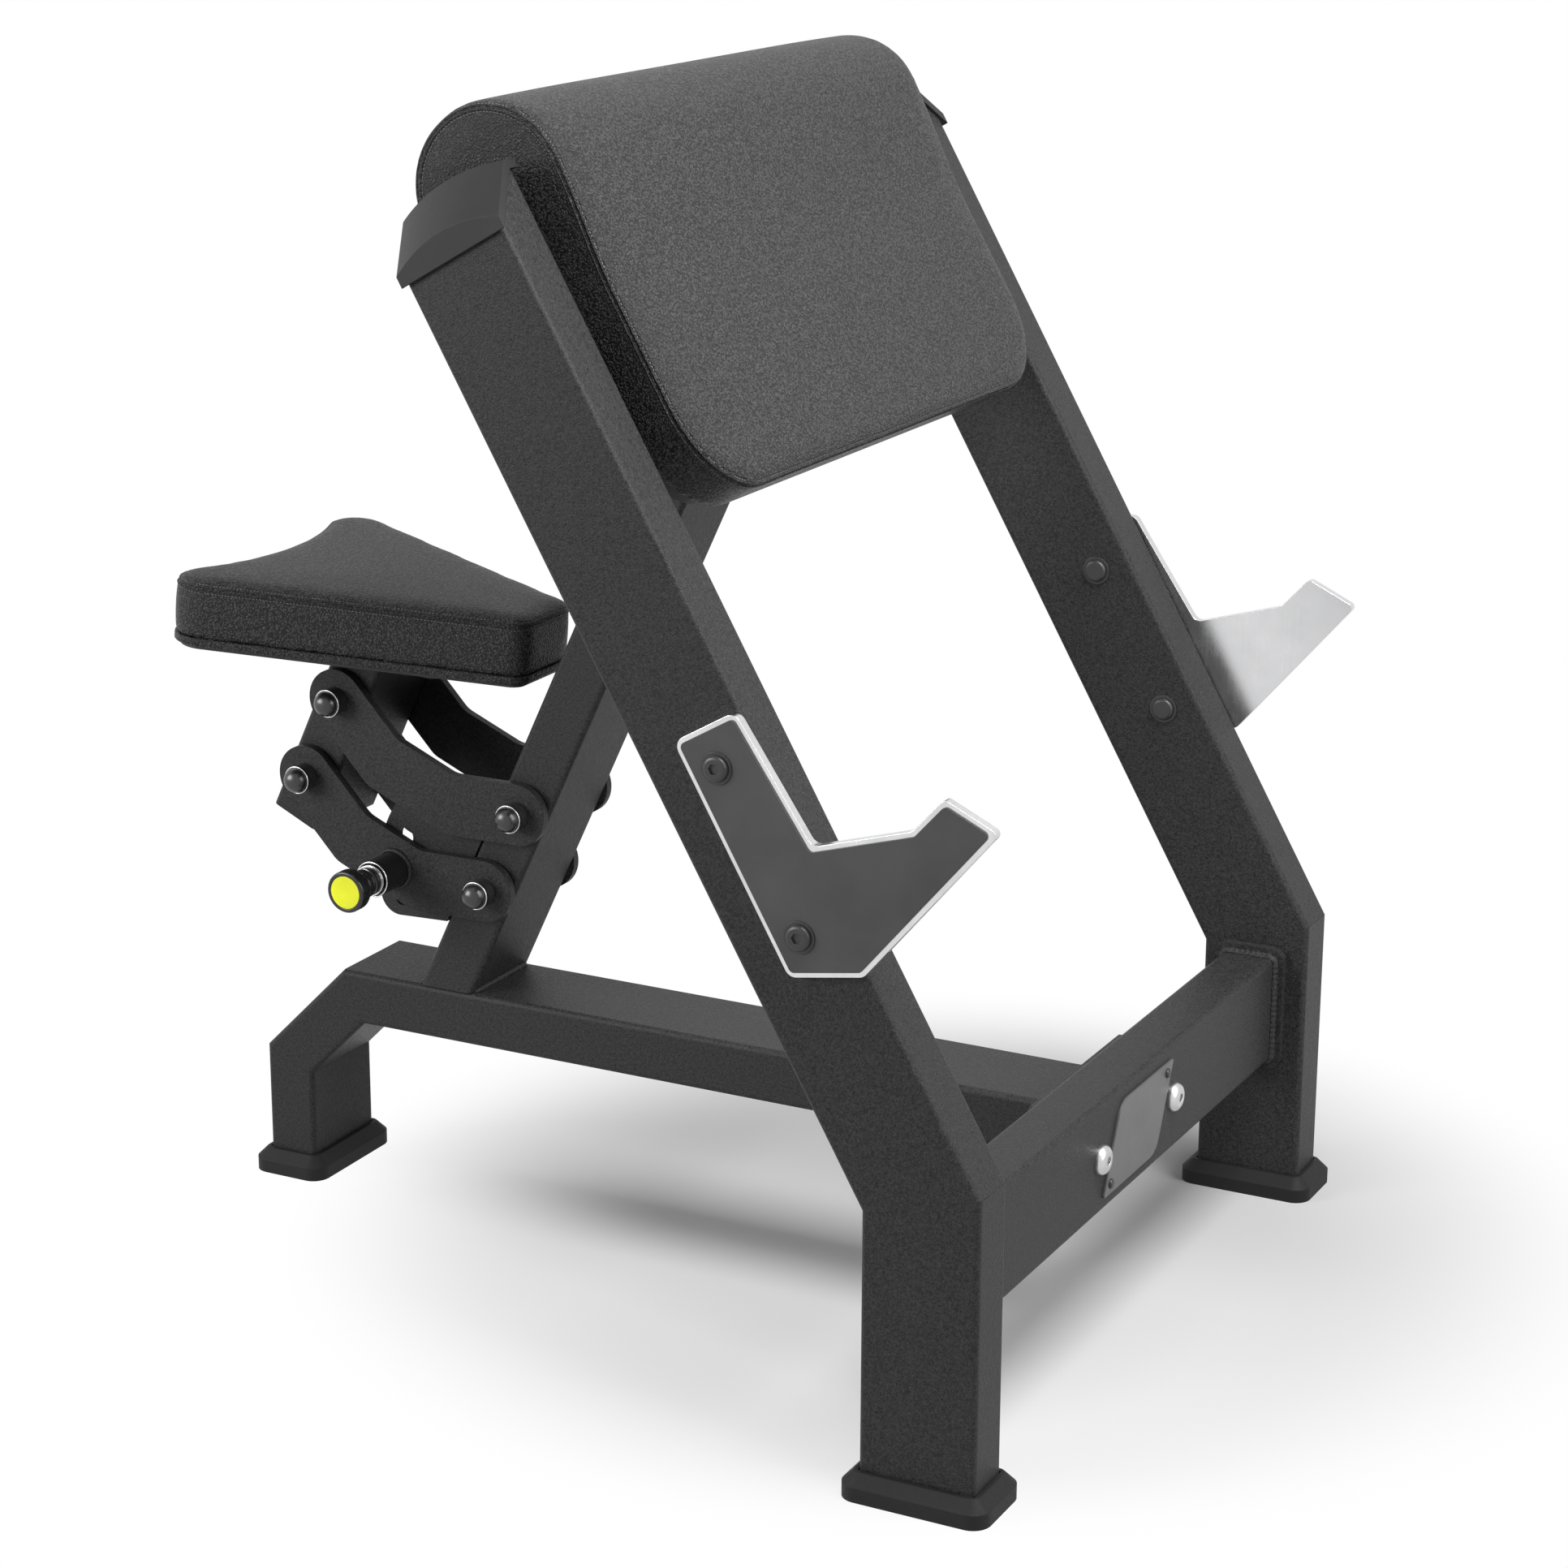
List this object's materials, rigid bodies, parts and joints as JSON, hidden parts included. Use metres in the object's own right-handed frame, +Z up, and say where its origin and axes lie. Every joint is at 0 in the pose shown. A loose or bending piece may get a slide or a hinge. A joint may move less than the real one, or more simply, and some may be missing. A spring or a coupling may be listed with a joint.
{
  "type": "preacher curl bench",
  "caption": "Preacher curl bench with bent side frames, a rolled arm pad, bar hooks and a wedge seat on a parallel linkage set by a spring locking pin.",
  "frame": {"origin": "on the floor, at the middle of the footprint", "axes": "+X the way the user faces, +Y to the user's left, +Z up"},
  "size_m": [0.9299, 0.801, 1.0559],
  "materials": {
    "frame_coat": "black fine-textured powder coat",
    "rubber": "black moulded rubber",
    "cap_plastic": "satin black moulded plastic",
    "upholstery": "black pebble-grain upholstery with stitched seams",
    "plywood": "black-stained plywood",
    "hook_steel": "bright polished steel",
    "inlay": "dark grey matte liner",
    "badge": "bare dark satin plate",
    "dark_bolt": "black oxide steel",
    "bright_bolt": "zinc-plated steel",
    "pin_steel": "ground steel",
    "bush": "sintered bronze",
    "washer_plastic": "black nylon",
    "chrome": "chromed ring",
    "knob_plastic": "black moulded knob",
    "disc": "bare yellow-green disc"
  },
  "bodies": {
    "frame": {"left_leg": "frame_coat", "left_upright": "frame_coat", "left_top_cap": "cap_plastic", "left_front_foot": "rubber", "right_leg": "frame_coat", "right_upright": "frame_coat", "right_top_cap": "cap_plastic", "right_front_foot": "rubber", "rear_foot": "rubber", "front_crossbar": "frame_coat", "crossbar_flanges": "frame_coat", "badge_plate": "badge", "badge_screws": "dark_bolt", "crossbar_bolts": "bright_bolt", "crossbar_nuts": "bright_bolt", "rear_leg": "frame_coat", "rear_knee": "frame_coat", "spine_beam": "frame_coat", "spine_end_plate": "frame_coat", "seat_post": "frame_coat", "upper_crossbar": "frame_coat", "locking_sector": "frame_coat", "front_pivot_sleeves": "pin_steel", "front_pivot_pins": "pin_steel", "front_thrust_washers": "washer_plastic", "front_pivot_collars": "dark_bolt", "front_pivot_caps": "dark_bolt", "arm_pad": "upholstery", "arm_pad_board": "plywood", "arm_pad_bolts": "dark_bolt", "left_bar_hook": "hook_steel", "right_bar_hook": "hook_steel", "left_hook_inlay": "inlay", "right_hook_inlay": "inlay", "hook_bolts": "dark_bolt", "hook_nuts": "dark_bolt", "hook_washers": "dark_bolt"},
    "lower_arms": {"left_lower_arm": "frame_coat", "right_lower_arm": "frame_coat", "lower_arm_bushes": "bush", "pin_housing": "frame_coat", "pin_spring": "pin_steel"},
    "upper_arms": {"left_upper_arm": "frame_coat", "right_upper_arm": "frame_coat", "upper_arm_bushes": "bush"},
    "seat": {"seat_carriage": "frame_coat", "carriage_end_plug": "cap_plastic", "rear_pivot_sleeves": "pin_steel", "rear_pivot_pins": "pin_steel", "rear_thrust_washers": "washer_plastic", "rear_pivot_collars": "dark_bolt", "rear_pivot_caps": "dark_bolt", "seat_plate": "frame_coat", "seat_board": "plywood", "seat_cushion": "upholstery", "seat_screws": "dark_bolt"},
    "locking_pin": {"locking_plunger": "pin_steel", "knob_ring": "chrome", "pin_knob": "knob_plastic", "knob_disc": "disc"}
  },
  "joints": [
    {"name": "seat_lift", "type": "hinge", "parent": "frame", "child": "lower_arms", "pos_m": [-0.18823, 0, 0.31825], "axis": [0, 1, 0], "range_deg": [-18, 18]},
    {"name": "upper_arm_swing", "type": "hinge", "parent": "frame", "child": "upper_arms", "pos_m": [-0.15226, 0, 0.39493], "axis": [0, 1, 0], "range_deg": [-18.5, 18.5]},
    {"name": "seat_levelling", "type": "hinge", "parent": "lower_arms", "child": "seat", "pos_m": [-0.37698, 0, 0.40001], "axis": [0, 1, 0], "range_deg": [-18.5, 18.5]},
    {"name": "pin_slide", "type": "slide", "parent": "lower_arms", "child": "locking_pin", "axis": [0, 1, 0], "range_m": [0, 0.0095]}
  ],
  "couplings": [
    {"joint": "upper_arm_swing", "follows": "seat_lift", "ratio": 1},
    {"joint": "seat_levelling", "follows": "seat_lift", "ratio": -1}
  ]
}
